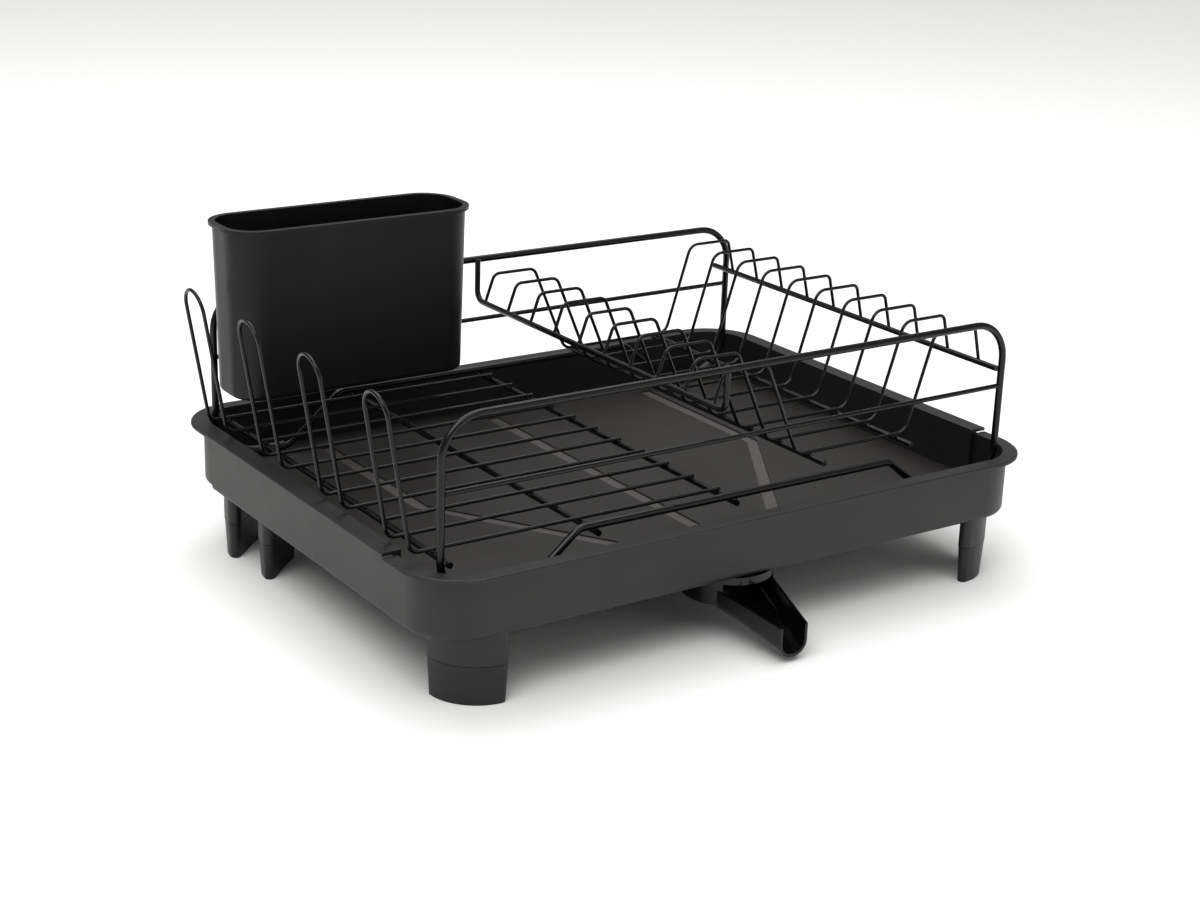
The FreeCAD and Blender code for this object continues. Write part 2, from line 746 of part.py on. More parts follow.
def cup_loop(label, first_y):
    """A wire that runs in under the cups, stands up as a leaning loop and runs back."""
    level, bend = size("loop_level"), size("loop_bend")
    pitch = size("loop_pitch")
    lean = math.radians(size("loop_lean"))
    tip = size("cross_right") + size("grid_stub")
    corner = size("cross_left") - size("loop_reach")
    crown_x = corner - size("loop_height") * math.tan(lean)
    crown_z = level + size("loop_height")
    crown_bend = pitch / 2
    one, other = first_y, first_y - pitch
    points = [
        (tip, one, level),
        (corner, one, level),
        (crown_x, one, crown_z),
        (crown_x, other, crown_z),
        (corner, other, level),
        (tip, other, level),
    ]
    bends = [0, bend, crown_bend, crown_bend, bend, 0]
    subpart(swept(label, bent_path(points, bends), "loop_wire / 2"), label)


# Welded wires stand this far apart, so that their solids never share any volume.
TOUCH_GAP = 0.02


def foot_offset(touch, drop, run, rise):
    """From the beam's middle to the foot of a leaning leg that touches the beam."""
    return (touch * math.hypot(run, rise) - drop * run) / rise


def plate_wire(label, y):
    """One plate divider: short leg, top, slope down, floor, slope up, top, short leg."""
    floor, side = size("plate_floor"), (size("beam_wire") + size("plate_wire")) / 2 + TOUCH_GAP
    inner_top, outer_top = size("inner_top_height"), size("outer_top_height")
    inner_low, outer_low = size("inner_rail_place"), size("outer_rail_place")
    drop = size("beam_wire") / 2
    inner_end, outer_end = size("inner_beam_height") - drop, size("outer_beam_height") - drop
    inner_foot = size("inner_beam_place") + foot_offset(side, drop, 8, inner_top - inner_end)
    outer_foot = size("outer_beam_place") + foot_offset(side, drop, -7, outer_top - outer_end)
    points = [
        (inner_foot, y, inner_end),
        (inner_foot + 8, y, inner_top),
        (inner_foot + 43, y, inner_top),
        (inner_low - 11, y, floor),
        (outer_low + 8, y, floor),
        (outer_foot - 44, y, outer_top),
        (outer_foot - 7, y, outer_top),
        (outer_foot, y, outer_end),
    ]
    bends = [0, 6, 7, 9, 9, 9, 5, 0]
    subpart(swept(label, bent_path(points, bends), "plate_wire / 2"), label)


def rack():
    """The welded wire rack, and the rubber sleeves on its feet."""
    for side, y in (("front", -size("frame_y")), ("back", size("frame_y"))):
        side_frame(f"{side}_side_frame", y)
        rod(
            f"{side}_mid_rail",
            "x",
            "mid_wire",
            "rack_width - frame_wire",
            "frame_wire / 2 - frame_x",
            "-frame_y" if side == "front" else "frame_y",
            "mid_rail_height",
        )
        foot_sleeve(f"foot_sleeve_{side}_left", -1, y)
        foot_sleeve(f"foot_sleeve_{side}_right", 1, y)
    for name in ("left", "middle", "right"):
        rod(
            f"cross_wire_{name}",
            "y",
            "cross_wire",
            "rack_depth + 2 * wire_stub",
            f"cross_{name}",
            "-frame_y - wire_stub",
            "cross_height",
        )

    pitch = size("loop_pitch")
    for k in range(4):
        cup_loop(f"cup_loop_{k + 1}", (5 - 3 * k) * pitch + size("grid_centre"))
    for k in range(3):
        rod(
            f"grid_wire_{k + 1}",
            "x",
            "loop_wire",
            "cross_right - cross_left + wire_stub + grid_stub",
            "cross_left - wire_stub",
            f"{3 - 3 * k} * loop_pitch + grid_centre",
            "loop_level",
        )

    for k in range(10):
        plate_wire(f"plate_wire_{k + 1:02d}", size("plate_first") - k * size("plate_pitch"))
    x, y = size("inner_beam_place"), size("inner_beam_y")
    low, high = size("inner_beam_height"), size("top_rail_height") + size("beam_wire") / 4
    bend = size("inner_beam_bend")
    points = [(x, y, high), (x, y, low), (x, -y, low), (x, -y, high)]
    path = bent_path(points, [0, bend, bend, 0])
    subpart(swept("inner_plate_beam", path, "beam_wire / 2"), "inner_plate_beam")
    rod(
        "outer_plate_beam",
        "y",
        "beam_wire",
        "rack_depth + outer_beam_stub",
        "outer_beam_place",
        "-frame_y",
        "outer_beam_height",
    )
    for name in ("inner", "outer"):
        rod(
            f"{name}_plate_rail",
            "y",
            "beam_wire",
            "rack_depth - 2 * rail_end_gap",
            f"{name}_rail_place",
            "rail_end_gap - frame_y",
            "plate_rail_height",
        )


# ---------------------------------------------------------------- drain spout
# The retainer rests just above the bottom of the dish round the drain, and the seal
# lies in a groove in the top of the basin, under the collar.
RETAINER_SEAT = "floor_height - drain_dish_depth + spout_clearance"
SEAL_RADIUS = "(drain_bore + drain_collar) / 4"


def trough(sketch, half, low, high, corner):
    """A U outline, closed along its top: X is across it and the sketch's Y is up."""
    w, z0, z1, r = (number(f) for f in (half, low, high, corner))
    runs = (
        ((w, z1), (-w, z1)),
        ((-w, z1), (-w, z0 + r)),
        ((r - w, z0), (w - r, z0)),
        ((w, z0 + r), (w, z1)),
    )
    for start, end in runs:
        sketch.addGeometry(Part.LineSegment(Vector(*start, 0), Vector(*end, 0)))
    for x, start in ((r - w, math.pi), (w - r, 1.5 * math.pi)):
        circle = Part.Circle(Vector(x, z0 + r, 0), Vector(0, 0, 1), r)
        sketch.addGeometry(Part.ArcOfCircle(circle, start, start + math.pi / 2))
    sketch.addConstraint(Sketcher.Constraint("Coincident", 0, 2, 1, 1))
    sketch.addConstraint(Sketcher.Constraint("Coincident", 3, 2, 0, 1))
    for before, after in ((1, 4), (4, 2), (2, 5), (5, 3)):
        sketch.addConstraint(Sketcher.Constraint("Tangent", before, 2, after, 1))
    sketch.addConstraint(Sketcher.Constraint("Equal", 4, 5))
    index = sketch.addConstraint(Sketcher.Constraint("Radius", 4, r))
    sketch.setExpression(f"Constraints[{index}]", bound(corner))
    for line, kind in enumerate(("Horizontal", "Vertical", "Horizontal", "Vertical")):
        sketch.addConstraint(Sketcher.Constraint(kind, line))
    pin(sketch, "DistanceX", 1, 1, f"-({half})", -w)
    pin(sketch, "DistanceX", 3, 2, half, w)
    pin(sketch, "DistanceY", 2, 1, low, z0)
    pin(sketch, "DistanceY", 0, 1, high, z1)


def loft(body, kind, first, last):
    feature = body.newObject(f"PartDesign::{kind}", f"{first.Name}_{kind}")
    feature.Profile = first
    feature.Sections = [last]
    feature.Ruled = True
    return feature


def drain_spout():
    """A round basin under the drain with an open chute; its neck turns in the collar."""
    body = new_body("drain_spout")
    top, bottom, floor = "spout_top", "basin_bottom", "basin_bottom + spout_wall"
    basin = new_sketch(body, "basin_disc", height=top, y="-drain_y")
    disc(basin, "basin_width / 2")
    outside = pad(body, basin, "basin_depth", down=True)
    low = size("basin_bottom")
    round_edges(body, outside, "basin_fillet", lambda e: lies_at(e, low))
    neck = new_sketch(body, "neck_disc", height=top, y="-drain_y")
    disc(neck, "spout_neck / 2")
    neck_rise = f"{RETAINER_SEAT} + retainer_thickness - {top}"
    pad(body, neck, neck_rise)

    start = new_sketch(body, "chute_start", height="drain_y + chute_start", plane="XZ_Plane")
    trough(start, "chute_start_width / 2", bottom, "chute_start_top", "chute_corner")
    mouth = new_sketch(body, "chute_mouth", height="drain_y + mouth_reach", plane="XZ_Plane")
    trough(mouth, "mouth_width / 2", "mouth_bottom", "mouth_top", "chute_corner")
    loft(body, "AdditiveLoft", start, mouth)

    chamber = new_sketch(body, "basin_chamber", height=f"{top} - spout_cap", y="-drain_y")
    disc(chamber, "basin_width / 2 - spout_wall")
    pocket(body, chamber, "basin_depth - spout_cap - spout_wall")
    bore = new_sketch(body, "neck_bore", height=f"{top} + {neck_rise}", y="-drain_y")
    disc(bore, "spout_neck / 2 - spout_wall")
    pocket(body, bore, f"{neck_rise} + spout_cap + 1")
    groove = new_sketch(body, "seal_groove_ring", height=top, y="-drain_y")
    disc(groove, f"{SEAL_RADIUS} + seal_wire / 2 + groove_clearance")
    disc(groove, f"{SEAL_RADIUS} - seal_wire / 2 - groove_clearance")
    pocket(body, groove, "seal_groove")
    inner_corner = "chute_corner - spout_wall"
    near = new_sketch(body, "chute_inside", height="drain_y + chute_start", plane="XZ_Plane")
    trough(near, "chute_start_width / 2 - spout_wall", floor, f"{top} - spout_cap", inner_corner)
    far = new_sketch(body, "mouth_inside", height="drain_y + mouth_reach", plane="XZ_Plane")
    mouth_floor, above = "mouth_bottom + spout_wall", "mouth_top + basin_depth / 2"
    trough(far, "mouth_width / 2 - spout_wall", mouth_floor, above, inner_corner)
    loft(body, "SubtractiveLoft", near, far)
    subpart(body, "drain_spout")

    ring = doc.addObject("Part::Cylinder", "retainer_disc")
    bind(ring, Radius="spout_neck / 2 + retainer_rim", Height="retainer_thickness")
    bind(ring, base_y="-drain_y", base_z=RETAINER_SEAT)
    ring_bore = doc.addObject("Part::Cylinder", "retainer_bore")
    bind(ring_bore, Radius="spout_neck / 2", Height="retainer_thickness + 2")
    bind(ring_bore, base_y="-drain_y", base_z=f"{RETAINER_SEAT} - 1")
    retainer = doc.addObject("Part::Cut", "spout_retainer")
    retainer.Base, retainer.Tool = ring, ring_bore
    subpart(retainer, "spout_retainer")

    seal = doc.addObject("Part::Torus", "drain_seal")
    bind(seal, Radius1=SEAL_RADIUS, Radius2="seal_wire / 2")
    bind(seal, base_y="-drain_y", base_z="spout_top - seal_groove + seal_wire / 2")
    subpart(seal, "drain_seal")


# ---------------------------------------------------------------- cutlery caddy
def cutlery_caddy():
    """A tapered open box with a lip, drain holes and two hooks on its back."""
    body = new_body("cutlery_caddy")
    half_x, half_y = "caddy_width / 2", "caddy_depth / 2"
    outline = new_sketch(body, "caddy_outline", height="caddy_rim_height")
    rectangle(outline, f"-{half_x}", half_x, f"-{half_y}", half_y, corner="caddy_corner")
    walls = pad(body, outline, "caddy_height", down=True, taper="-1 * caddy_taper")
    low = size("caddy_bottom")
    round_edges(body, walls, "caddy_wall * 2", lambda e: lies_at(e, low))
    lip = new_sketch(body, "caddy_lip_outline", height="caddy_rim_height")
    reach_x, reach_y = "caddy_width / 2 + caddy_lip", "caddy_depth / 2 + caddy_lip"
    lip_corner = "caddy_corner + caddy_lip"
    rectangle(lip, f"-({reach_x})", reach_x, f"-({reach_y})", reach_y, corner=lip_corner)
    pad(body, lip, "caddy_lip_thickness", down=True)
    rail_y = "caddy_depth / 2 + caddy_back_gap + frame_wire / 2"
    hook_top = "top_rail_height + frame_wire / 2 + hook_gap + hook_wall"
    for side, sign in (("left", "-"), ("right", "")):
        left = f"{sign}hook_spacing / 2 - hook_width / 2"
        right = f"{sign}hook_spacing / 2 + hook_width / 2"
        block = new_sketch(body, f"hook_{side}", height=hook_top)
        back = f"{rail_y} + frame_wire / 2 + hook_gap + hook_wall"
        rectangle(block, left, right, f"{half_y} - caddy_wall * 2", back)
        pad(body, block, "hook_wall + frame_wire + hook_drop", down=True)
        slot = new_sketch(body, f"hook_slot_{side}", height=f"{hook_top} - hook_wall")
        near = f"{rail_y} - frame_wire / 2 - hook_gap"
        far = f"{rail_y} + frame_wire / 2 + hook_gap"
        rectangle(slot, f"{left} - 1", f"{right} + 1", near, far)
        pocket(body, slot, "frame_wire + hook_drop + 5")
    inside = new_sketch(body, "caddy_inside", height="caddy_rim_height")
    in_x, in_y = "caddy_width / 2 - caddy_wall", "caddy_depth / 2 - caddy_wall"
    in_corner = "caddy_corner - caddy_wall"
    rectangle(inside, f"-({in_x})", in_x, f"-({in_y})", in_y, corner=in_corner)
    pocket(body, inside, "caddy_height - caddy_wall", taper="-1 * caddy_taper")
    for row in (-1, 1):
        holes = new_sketch(body, f"caddy_drains_{row + 2}", height="caddy_bottom + 10")
        for column in (-2, -1, 0, 1, 2):
            disc(
                holes,
                "caddy_drain_hole / 2",
                x=f"{column} * caddy_drain_pitch",
                y=f"{row} * caddy_drain_pitch / 3",
            )
        pocket(body, holes, "20")
    bind(body, base_x="caddy_place", base_y="caddy_y")
    subpart(body, "cutlery_caddy")


# ---------------------------------------------------------------- assembly
derived.addProperty("App::PropertyFloat", "peg_centre")
DERIVED["peg_centre"] = (
    "(leg_arc + leg_corner - sqrt((leg_arc - leg_corner) ^ 2"
    " - (leg_chord / 2 - leg_corner) ^ 2)) / -2"
)
derived.setExpression("peg_centre", bound(DERIVED["peg_centre"]))
doc.recompute()

front_tray()
back_tray()
for side, sign in (("left", "-"), ("right", "")):
    for row, end in (("front", "front"), ("middle", "back"), ("back", "back")):
        place = f"{sign}{row}_leg_x"
        foot_cap(f"foot_cap_{row}_{side}", place, f"{row}_leg_y", LEG_TURN[f"{end}_{side}"])
drain_spout()
rack()
cutlery_caddy()
doc.recompute()

faults = [o.Name for o in doc.Objects if "Invalid" in o.State or "Error" in o.State]
faults += [p.Label for p in subparts if p.Shape.isNull() or not p.Shape.isValid()]
if faults:
    raise RuntimeError(f"failed: {faults}")

whole = FreeCAD.BoundBox()
for part in subparts:
    whole.add(part.Shape.optimalBoundingBox(False))
origin = Vector(whole.Center.x, whole.Center.y, whole.ZMin)
print("origin from the tray's centre:", [round(v, 3) for v in origin])

os.makedirs("parts", exist_ok=True)
for part in subparts:
    shape = part.Shape.copy()
    shape.translate(-origin)
    shape.exportStep(os.path.join("parts", f"{part.Label}.step"))
    box = shape.BoundBox
    print(f"{part.Label:26s} {len(shape.Solids)} solid {shape.Volume / 1000:9.2f} cm3", box)
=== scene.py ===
"""Dish drying rack: a two-part drip tray with a swivelling spout, a wire rack and a caddy."""

import math

import bpy
from mathutils import Matrix, Vector
from mathutils.bvhtree import BVHTree


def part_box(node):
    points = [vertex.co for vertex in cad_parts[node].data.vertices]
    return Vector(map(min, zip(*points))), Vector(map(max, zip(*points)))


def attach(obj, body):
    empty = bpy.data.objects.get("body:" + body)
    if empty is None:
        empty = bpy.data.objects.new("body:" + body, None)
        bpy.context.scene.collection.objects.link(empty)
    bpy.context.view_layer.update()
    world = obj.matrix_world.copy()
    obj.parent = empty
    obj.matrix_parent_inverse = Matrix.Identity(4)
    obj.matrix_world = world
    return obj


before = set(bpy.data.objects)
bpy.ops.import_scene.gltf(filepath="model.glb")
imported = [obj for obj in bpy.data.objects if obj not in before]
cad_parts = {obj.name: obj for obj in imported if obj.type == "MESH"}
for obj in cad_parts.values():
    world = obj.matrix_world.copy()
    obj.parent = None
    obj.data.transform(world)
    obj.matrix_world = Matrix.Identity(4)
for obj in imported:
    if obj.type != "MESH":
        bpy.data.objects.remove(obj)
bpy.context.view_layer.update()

MM = 0.001
ALONG_X, ALONG_Y = 0, 1

# heights of the tray's level faces, in millimetres
FLOOR_HEIGHT = 56.5
CHANNEL_HEIGHT = 55.5
HALF_BAND = 0.25

# what a straight wire measures across, in millimetres
CROSS_WIRE = 4.0
PLATE_BEAM = 4.2
THIN_RAIL = 3.3


# ---------------------------------------------------------------- materials

def linear(code):
    """An sRGB hex colour as the linear RGBA that a socket takes."""
    channels = [int(code[i:i + 2], 16) / 255 for i in (1, 3, 5)]
    return [c / 12.92 if c <= 0.04045 else ((c + 0.055) / 1.055) ** 2.4
            for c in channels] + [1.0]


def add(tree, kind, inputs=None, **settings):
    """One node. inputs gives each socket its value, or the socket that feeds it."""
    node = tree.nodes.new(kind)
    for name, value in settings.items():
        setattr(node, name, value)
    for name, value in (inputs or {}).items():
        if isinstance(value, bpy.types.NodeSocket):
            tree.links.new(value, node.inputs[name])
        else:
            node.inputs[name].default_value = value
    return node


def finish_of(name, ior, specular=0.5):
    """A new material with its shader, its tree and its Object coordinates."""
    material = bpy.data.materials.new(name)
    material.use_nodes = True
    tree = material.node_tree
    shader = tree.nodes["Principled BSDF"]
    shader.inputs["IOR"].default_value = ior
    shader.inputs["Specular IOR Level"].default_value = specular
    place = add(tree, "ShaderNodeTexCoord").outputs["Object"]
    return material, tree, shader, place


def grain(tree, shader, place, size_mm, depth_mm, strength, detail=2.0):
    """A fine raised grain over the whole surface, as the mould or the coating leaves it."""
    noise = add(tree, "ShaderNodeTexNoise",
                {"Vector": place, "Scale": 1 / (size_mm * MM), "Detail": detail})
    bump = add(tree, "ShaderNodeBump",
               {"Height": noise.outputs["Fac"], "Strength": strength,
                "Distance": depth_mm * MM})
    tree.links.new(bump.outputs["Normal"], shader.inputs["Normal"])


def drift(tree, place, size_mm, low, high):
    """A slow drift of one value between low and high, over patches of that size."""
    noise = add(tree, "ShaderNodeTexNoise",
                {"Vector": place, "Scale": 1 / (size_mm * MM), "Detail": 3.0})
    spread = add(tree, "ShaderNodeMapRange",
                 {"Value": noise.outputs["Fac"], "From Min": 0.3, "From Max": 0.7,
                  "To Min": low, "To Max": high})
    return spread.outputs["Result"]


def tint(tree, factor, first, second):
    """A colour between two hex codes. first may also be the socket that feeds it."""
    mix = add(tree, "ShaderNodeMix", data_type="RGBA")
    for index, colour in ((6, first), (7, second)):
        if isinstance(colour, str):
            mix.inputs[index].default_value = linear(colour)
        else:
            tree.links.new(colour, mix.inputs[index])
    tree.links.new(factor, mix.inputs[0])
    return mix.outputs[2]


def level_face(tree, place, centre_mm, half_mm):
    """1 on faces that look straight up within half_mm of the height centre_mm, else 0."""
    height = add(tree, "ShaderNodeSeparateXYZ", {"Vector": place}).outputs["Z"]
    facing = add(tree, "ShaderNodeNewGeometry").outputs["True Normal"]
    upward = add(tree, "ShaderNodeSeparateXYZ", {"Vector": facing}).outputs["Z"]
    least = 0.95  # the cosine of 18 degrees
    flat = add(tree, "ShaderNodeMath", {0: upward, 1: least}, operation="GREATER_THAN")
    near = add(tree, "ShaderNodeMath",
               {0: height, 1: centre_mm * MM, 2: half_mm * MM}, operation="COMPARE")
    return add(tree, "ShaderNodeMath",
               {0: near.outputs["Value"], 1: flat.outputs["Value"]},
               operation="MULTIPLY").outputs["Value"]


def tray_plastic():
    """Black ABS, injection moulded in a spark-eroded mould: an even, dull satin.

    The grain of such a mould is about 0.15 mm, drawn 0.7 mm so that it shows.
    """
    material, tree, shader, place = finish_of("abs_spark_eroded_black", 1.53, 0.42)
    grain(tree, shader, place, size_mm=0.7, depth_mm=0.05, strength=0.15)
    patches = drift(tree, place, size_mm=35, low=0, high=1)
    body = tint(tree, patches, "#121212", "#151514")
    # painted light: the upward-facing tray floor is painted a little lighter and warmer than
    # the walls, standing in for the light that falls on it from above
    floor_painted_light_mask = level_face(tree, place, FLOOR_HEIGHT, HALF_BAND)
    floor = tint(tree, floor_painted_light_mask, body, "#1c1a17")
    # the beds of the drain channels are painted lighter still, a painted reflection of the
    # bright surroundings, and are also made a little smoother
    channel_sheen_and_smoothing_mask = level_face(tree, place, CHANNEL_HEIGHT, HALF_BAND)
    tree.links.new(tint(tree, channel_sheen_and_smoothing_mask, floor, "#4d4843"), shader.inputs["Base Color"])
    rough = drift(tree, place, size_mm=22, low=0.44, high=0.48)
    channel_change = -0.12
    smooth = add(tree, "ShaderNodeMath", {0: channel_sheen_and_smoothing_mask, 1: channel_change, 2: rough},
                 operation="MULTIPLY_ADD")
    tree.links.new(smooth.outputs["Value"], shader.inputs["Roughness"])
    return material


def caddy_plastic():
    """Black polypropylene from a polished mould: a soft, waxy shine with faint upright flow.

    The ripple of its skin is finer than it is drawn here, 1.1 mm, so that it shows.
    """
    material, tree, shader, place = finish_of("polypropylene_moulded_black", 1.49, 0.28)
    grain(tree, shader, place, size_mm=1.1, depth_mm=0.03, strength=0.15)
    upright = add(tree, "ShaderNodeMapping", {"Vector": place, "Scale": (1, 1, 0.15)})
    upright = upright.outputs["Vector"]
    flow = drift(tree, upright, size_mm=9, low=0, high=1)
    tree.links.new(tint(tree, flow, "#090909", "#0c0c0c"), shader.inputs["Base Color"])
    rough = drift(tree, upright, size_mm=14, low=0.34, high=0.42)
    tree.links.new(rough, shader.inputs["Roughness"])
    return material


def foot_plastic():
    """Black thermoplastic rubber, moulded: an even satin with no clear highlight.

    Its grain is finer than it is drawn here, 0.6 mm, so that it shows.
    """
    material, tree, shader, place = finish_of("thermoplastic_rubber_black", 1.50, 0.4)
    grain(tree, shader, place, size_mm=0.6, depth_mm=0.04, strength=0.2)
    patches = drift(tree, place, size_mm=12, low=0, high=1)
    tree.links.new(tint(tree, patches, "#101010", "#141413"), shader.inputs["Base Color"])
    rough = drift(tree, place, size_mm=8, low=0.42, high=0.52)
    tree.links.new(rough, shader.inputs["Roughness"])
    return material


def spout_plastic():
    """Black ABS from a mirror-polished mould: deep gloss, slightly wavy as thin walls are."""
    material, tree, shader, place = finish_of("abs_gloss_black", 1.53, 0.3)
    grain(tree, shader, place, size_mm=9, depth_mm=0.15, strength=0.12, detail=1.0)
    patches = drift(tree, place, size_mm=20, low=0, high=1)
    tree.links.new(tint(tree, patches, "#050505", "#090909"), shader.inputs["Base Color"])
    rough = drift(tree, place, size_mm=6, low=0.10, high=0.17)
    tree.links.new(rough, shader.inputs["Roughness"])
    return material


def coated_wire():
    """Steel wire in black polyester powder coat: semi-gloss with the coat's orange peel.

    The peel is about 1.5 mm from crest to crest.
    """
    material, tree, shader, place = finish_of("powder_coat_black_on_steel", 1.50, 0.32)
    grain(tree, shader, place, size_mm=1.5, depth_mm=0.04, strength=0.10)
    patches = drift(tree, place, size_mm=6, low=0, high=1)
    tree.links.new(tint(tree, patches, "#050504", "#0a0908"), shader.inputs["Base Color"])
    rough = drift(tree, place, size_mm=5, low=0.17, high=0.25)
    tree.links.new(rough, shader.inputs["Roughness"])
    return material


def seal_rubber():
    """Black nitrile rubber, moulded as a ring: dull, with a bloom of fine powder."""
    material, tree, shader, place = finish_of("nitrile_rubber_black", 1.52)
    grain(tree, shader, place, size_mm=0.5, depth_mm=0.03, strength=0.2)
    patches = drift(tree, place, size_mm=4, low=0, high=1)
    tree.links.new(tint(tree, patches, "#151515", "#232322"), shader.inputs["Base Color"])
    rough = drift(tree, place, size_mm=3, low=0.60, high=0.72)
    tree.links.new(rough, shader.inputs["Roughness"])
    return material


TRAY = tray_plastic()
CADDY = caddy_plastic()
FOOT = foot_plastic()
SPOUT = spout_plastic()
WIRE = coated_wire()
SEAL = seal_rubber()

FINISHES = {
    "front_tray": TRAY, "back_tray": TRAY, "foot_cap": FOOT, "foot_sleeve": FOOT,
    "drain_spout": SPOUT, "spout_retainer": SPOUT, "drain_seal": SEAL,
    "cutlery_caddy": CADDY,
}
for name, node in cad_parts.items():
    finish = next((m for start, m in FINISHES.items() if name.startswith(start)), WIRE)
    node.data.materials.clear()
    node.data.materials.append(finish)


# ---------------------------------------------------------------- weld beads

def middle_line(name, axis):
    """The two ends of a straight wire that runs along that axis, on its middle line."""
    low, high = (Vector(corner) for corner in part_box(name))
    start, end = (low + high) / 2, (low + high) / 2
    start[axis], end[axis] = low[axis], high[axis]
    return start, end


def crossings(name, axis, others, wire_mm, reach_mm=0.7, step_mm=0.5):
    """Where the other wires touch this straight one: the points on its surface."""
    start, end = middle_line(name, axis)
    steps = max(2, round((end - start).length / (step_mm * MM)))
    found = []
    for other in others:
        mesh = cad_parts[other].data
        surface = BVHTree.FromPolygons([v.co for v in mesh.vertices],
                                       [p.vertices for p in mesh.polygons])
        row = []
        for step in range(steps + 1):
            here = start.lerp(end, step / steps)
            hit, _, _, distance = surface.find_nearest(here)
            row.append((distance, here, hit))
        limit = (wire_mm / 2 + reach_mm) * MM
        for before, now, after in zip(row, row[1:], row[2:]):
            if now[0] <= limit and now[0] <= before[0] and now[0] < after[0]:
                across = (now[2] - now[1]).normalized()
                found.append(now[1] + across * wire_mm / 2 * MM)
    return found


def weld_tree(material):
    """Geometry Nodes: one small flattened bead at each point of the mesh that it is given."""
    tree = bpy.data.node_groups.new("weld_beads", "GeometryNodeTree")
    tree.interface.new_socket("Points", in_out="INPUT", socket_type="NodeSocketGeometry")
    tree.interface.new_socket("Bead Radius", in_out="INPUT", socket_type="NodeSocketFloat")
    tree.interface.new_socket("Bead Spread", in_out="INPUT", socket_type="NodeSocketFloat")
    tree.interface.new_socket("Seed", in_out="INPUT", socket_type="NodeSocketInt")
    tree.interface.new_socket("Beads", in_out="OUTPUT", socket_type="NodeSocketGeometry")
    given = add(tree, "NodeGroupInput").outputs
    ball = add(tree, "GeometryNodeMeshUVSphere",
               {"Segments": 12, "Rings": 8, "Radius": given["Bead Radius"]})
    rounded = add(tree, "GeometryNodeSetShadeSmooth", {0: ball.outputs["Mesh"]})
    least, most, height = 0.85, 1.15, 0.8  # of the bead's radius
    spread = add(tree, "FunctionNodeRandomValue",
                 {"Seed": given["Seed"], 2: least, 3: most}, data_type="FLOAT")
    size = add(tree, "ShaderNodeMath", {0: spread.outputs[1], 1: given["Bead Spread"]},
               operation="MULTIPLY")
    shape = add(tree, "ShaderNodeCombineXYZ",
                {"X": size.outputs["Value"], "Y": size.outputs["Value"], "Z": height})
    placed = add(tree, "GeometryNodeInstanceOnPoints",
                 {"Points": given["Points"], "Instance": rounded.outputs[0],
                  "Scale": shape.outputs["Vector"]})
    real = add(tree, "GeometryNodeRealizeInstances", {0: placed.outputs["Instances"]})
    painted = add(tree, "GeometryNodeSetMaterial",
                  {"Geometry": real.outputs[0], "Material": material})
    add(tree, "NodeGroupOutput", {"Beads": painted.outputs["Geometry"]})
    return tree


def grown(name, points, tree, **values):
    """A plain mesh object, made by that tree from those points."""
    seeds = bpy.data.meshes.new(name + "_points")
    seeds.from_pydata([tuple(p) for p in points], [], [])
    holder = bpy.data.objects.new(name + "_points", seeds)
    bpy.context.scene.collection.objects.link(holder)
    modifier = holder.modifiers.new("grow", "NODES")
    modifier.node_group = tree
    for socket in tree.interface.items_tree:
        if socket.in_out == "INPUT" and socket.name in values:
            modifier[socket.identifier] = values[socket.name]
    bpy.context.view_layer.update()
    grid = bpy.context.evaluated_depsgraph_get()
    mesh = bpy.data.meshes.new_from_object(holder.evaluated_get(grid), depsgraph=grid)
    mesh.name = name
    bpy.data.objects.remove(holder)
    piece = bpy.data.objects.new(name, mesh)
    bpy.context.scene.collection.objects.link(piece)
    return piece


plates, loops, grids, crosses = (
    [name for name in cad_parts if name.startswith(start)]
    for start in ("plate_wire_", "cup_loop_", "grid_wire_", "cross_wire_"))
side_frames = ["front_side_frame", "back_side_frame"]
mid_rails = ["front_mid_rail", "back_mid_rail"]

heavy, light = [], []
for cross in crosses:
    heavy += crossings(cross, ALONG_Y, side_frames, CROSS_WIRE)
    light += crossings(cross, ALONG_Y, grids + loops, CROSS_WIRE)
for beam, thick in (("outer_plate_beam", PLATE_BEAM), ("inner_plate_rail", THIN_RAIL),
                    ("outer_plate_rail", THIN_RAIL)):
    light += crossings(beam, ALONG_Y, plates, thick)
    heavy += crossings(beam, ALONG_Y, side_frames + mid_rails, thick)
for rail in mid_rails:
    heavy += crossings(rail, ALONG_X, side_frames, THIN_RAIL)

beads = weld_tree(WIRE)
for name, points, radius_mm in (("frame_welds", heavy, 1.9), ("grid_welds", light, 1.35)):
    piece = grown(name, points, beads,
                  **{"Bead Radius": radius_mm * MM, "Bead Spread": 1.15, "Seed": 7})
    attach(piece, "rack")


# ---------------------------------------------------------------- floor, light and camera

FLOOR_HALF = 20.0
FLOOR_DROP = 0.0002  # keeps the floor clear of the feet
LAMP_TARGET = (0, 0, 0.1)
LAMPS = (  # name, place, width and depth, watts
    ("key_left", (-1.5, -0.9, 2.2), (1.6, 1.6), 24),
    ("top", (0.3, 0.9, 2.2), (2.4, 1.6), 32),
    ("front_fill", (0.9, -2.4, 1.1), (2.0, 1.4), 5),
)
DAYLIGHT_STRENGTH, DAYLIGHT_SPREAD, DAYLIGHT_TILT = 1.5, 70, (12, -10, 0)
WORLD_STRENGTH = 0.32
LENS_MM, SENSOR_MM = 63.7, 36.0
CAMERA_PLACE = (-0.8047, -1.1479, 0.567)
CAMERA_AIM = (0.537, 0.777, -0.327)
CAMERA_ROLL = math.radians(1.88)


def stage_plane(name, half, height):
    """A square floor of that half width, at that height."""
    mesh = bpy.data.meshes.new(name)
    mesh.from_pydata([(-half, -half, height), (half, -half, height),
                      (half, half, height), (-half, half, height)], [], [(0, 1, 2, 3)])
    plane = bpy.data.objects.new(name, mesh)
    bpy.context.scene.collection.objects.link(plane)
    return plane


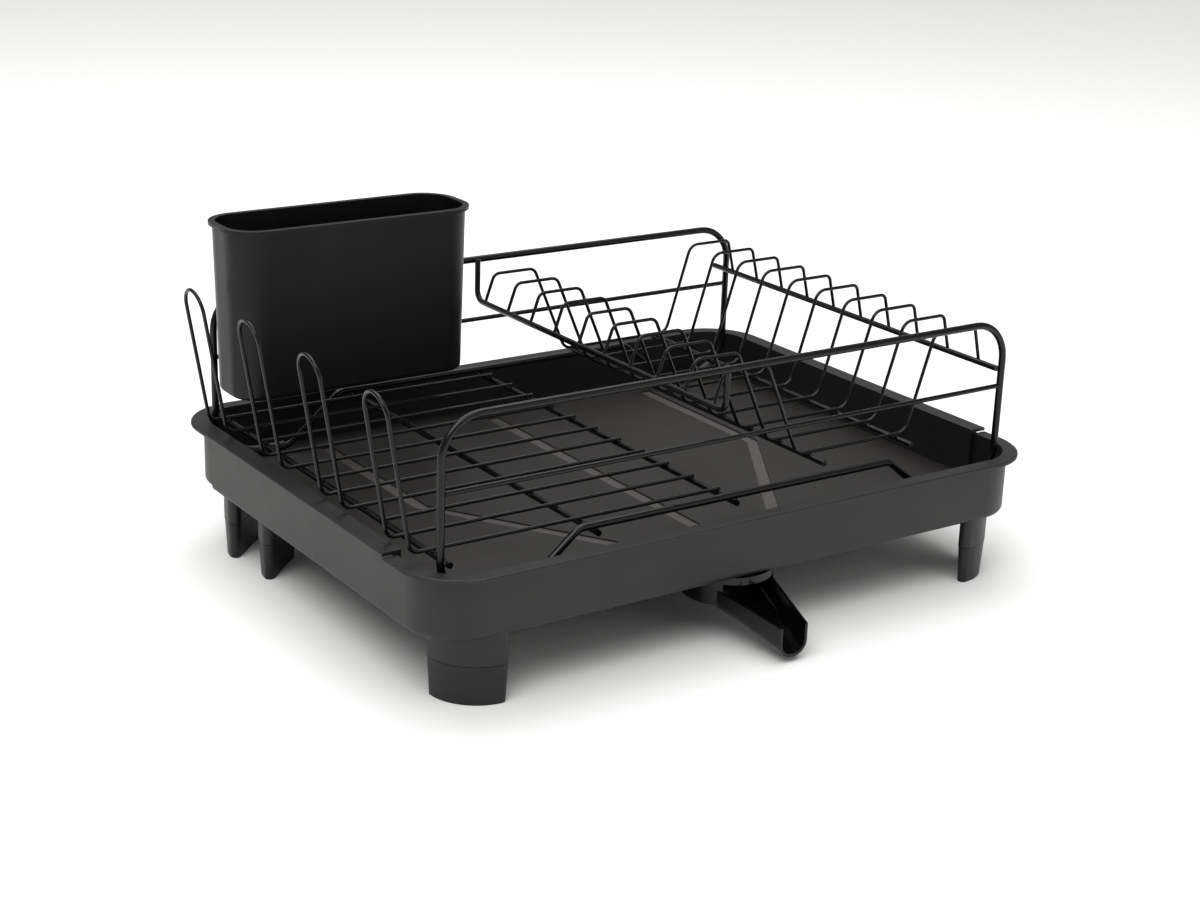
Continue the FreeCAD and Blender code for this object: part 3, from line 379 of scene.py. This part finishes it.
floor = stage_plane("studio_floor", FLOOR_HALF, -FLOOR_DROP)
paper = bpy.data.materials.new("matt_white_paper")
paper.use_nodes = True
sheet = paper.node_tree.nodes["Principled BSDF"]
sheet.inputs["Base Color"].default_value = linear("#f4f4f2")
sheet.inputs["Roughness"].default_value = 0.9
floor.data.materials.append(paper)


def softbox(name, place, size, watts):
    """A large soft white lamp that faces the middle of the object."""
    lamp = bpy.data.lights.new(name, "AREA")
    lamp.shape = "RECTANGLE"
    lamp.size, lamp.size_y = size
    lamp.energy = watts
    box = bpy.data.objects.new(name, lamp)
    box.location = place
    towards = Vector(LAMP_TARGET) - Vector(place)
    box.rotation_euler = towards.to_track_quat("-Z", "Y").to_euler()
    bpy.context.scene.collection.objects.link(box)


for lamp_facts in LAMPS:
    softbox(*lamp_facts)

daylight = bpy.data.lights.new("overhead", "SUN")
daylight.energy, daylight.angle = DAYLIGHT_STRENGTH, math.radians(DAYLIGHT_SPREAD)
overhead = bpy.data.objects.new("overhead", daylight)
overhead.rotation_euler = [math.radians(degrees) for degrees in DAYLIGHT_TILT]
bpy.context.scene.collection.objects.link(overhead)

world = bpy.data.worlds.new("studio")
world.use_nodes = True
sky = world.node_tree.nodes["Background"]
sky.inputs["Color"].default_value = linear("#ffffff")
sky.inputs["Strength"].default_value = WORLD_STRENGTH
bpy.context.scene.world = world
bpy.context.scene.view_settings.view_transform = "Standard"

lens = bpy.data.cameras.new("camera")
lens.lens, lens.sensor_width = LENS_MM, SENSOR_MM
camera = bpy.data.objects.new("camera", lens)
bpy.context.scene.collection.objects.link(camera)
ahead = Vector(CAMERA_AIM).normalized()
right = ahead.cross(Vector((0, 0, 1))).normalized()
up = right.cross(ahead)
right, up = (math.cos(CAMERA_ROLL) * right + math.sin(CAMERA_ROLL) * up,
             math.cos(CAMERA_ROLL) * up - math.sin(CAMERA_ROLL) * right)
turn = Matrix((right, up, -ahead)).transposed().to_4x4()
camera.matrix_world = Matrix.Translation(CAMERA_PLACE) @ turn
bpy.context.scene.camera = camera
